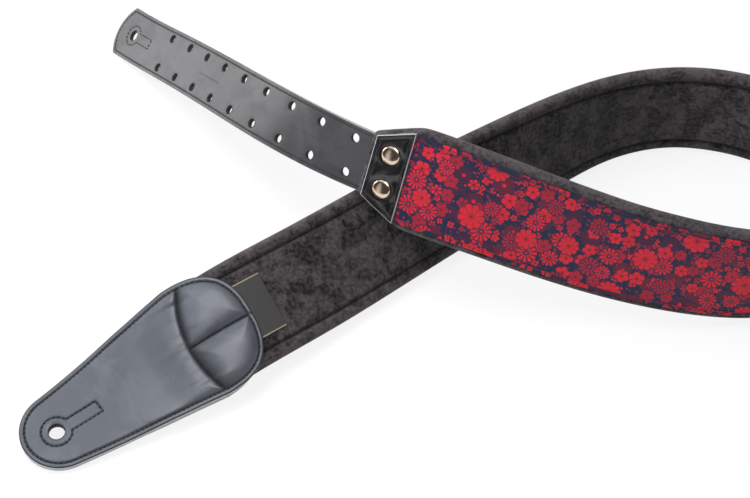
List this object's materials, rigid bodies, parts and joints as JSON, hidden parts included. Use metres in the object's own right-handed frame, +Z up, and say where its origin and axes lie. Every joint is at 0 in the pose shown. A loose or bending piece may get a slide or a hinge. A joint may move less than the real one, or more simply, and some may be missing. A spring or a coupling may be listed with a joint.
{
  "type": "guitar strap",
  "caption": "Padded guitar strap with velour back and flowered face, a quilted leather end tab, and a perforated leather tongue held by screw posts.",
  "frame": {"origin": "centre of the object's box, at the height of the surface it lies on", "axes": "+Z up, +X along the longest side, from the two ends towards the loop; the tab lies towards -Y and the tongue towards +Y"},
  "size_m": [0.5251, 0.4095, 0.1094],
  "materials": {
    "black_velour": "short napped velour",
    "foam": "soft open foam",
    "webbing": "woven polyester webbing",
    "flower_jacquard": "jacquard, red flowers on navy",
    "black_satin": "woven satin",
    "tab_leather": "smooth padded leather",
    "core_leather": "undyed split leather",
    "tongue_leather": "smooth leather, slightly worn",
    "gloss_leather": "glossy leather",
    "pale_brass": "polished pale brass",
    "nickel": "plated steel"
  },
  "bodies": {
    "strap": {"back_lining": "black_velour", "foam_pad": "foam", "pocket_pad": "foam", "webbing_core": "webbing", "front_fabric": "flower_jacquard", "woven_label": "black_satin", "tab_top_leather": "tab_leather", "tab_bottom_leather": "tab_leather", "tab_core": "core_leather", "tab_filler": "foam", "tab_cell_upper": "foam", "tab_cell_lower": "foam", "tongue_top_leather": "tongue_leather", "tongue_core": "core_leather", "tongue_bottom_leather": "tongue_leather", "adjuster_plate": "gloss_leather", "plate_liner": "core_leather", "rear_plate": "gloss_leather"},
    "post_1": {"post_cap_1": "pale_brass"},
    "washer_1": {"rear_washer_1": "nickel"},
    "screw_1": {"rear_screw_1": "nickel"},
    "post_2": {"post_cap_2": "pale_brass"},
    "washer_2": {"rear_washer_2": "nickel"},
    "screw_2": {"rear_screw_2": "nickel"}
  },
  "joints": [
    {"name": "post_1_push_out", "type": "slide", "parent": "strap", "child": "post_1", "axis": [-0.364, -0.8136, 0.4534], "range_m": [0, 0.014]},
    {"name": "screw_1_travel", "type": "slide", "parent": "strap", "child": "washer_1", "axis": [0.364, 0.8136, -0.4534], "range_m": [0, 0.0063]},
    {"name": "screw_1_turn", "type": "hinge", "parent": "washer_1", "child": "screw_1", "pos_m": [-0.03922, -0.02341, 0.08953], "axis": [0.364, 0.8136, -0.4534], "range_deg": [0, 3240]},
    {"name": "post_2_push_out", "type": "slide", "parent": "strap", "child": "post_2", "axis": [-0.364, -0.8136, 0.4534], "range_m": [0, 0.014]},
    {"name": "screw_2_travel", "type": "slide", "parent": "strap", "child": "washer_2", "axis": [0.364, 0.8136, -0.4534], "range_m": [0, 0.0063]},
    {"name": "screw_2_turn", "type": "hinge", "parent": "washer_2", "child": "screw_2", "pos_m": [-0.04507, -0.03208, 0.06927], "axis": [0.364, 0.8136, -0.4534], "range_deg": [0, 3240]}
  ],
  "couplings": [
    {"joint": "screw_1_turn", "follows": "screw_1_travel", "rad_per_m": 8976},
    {"joint": "screw_2_turn", "follows": "screw_2_travel", "rad_per_m": 8976}
  ]
}
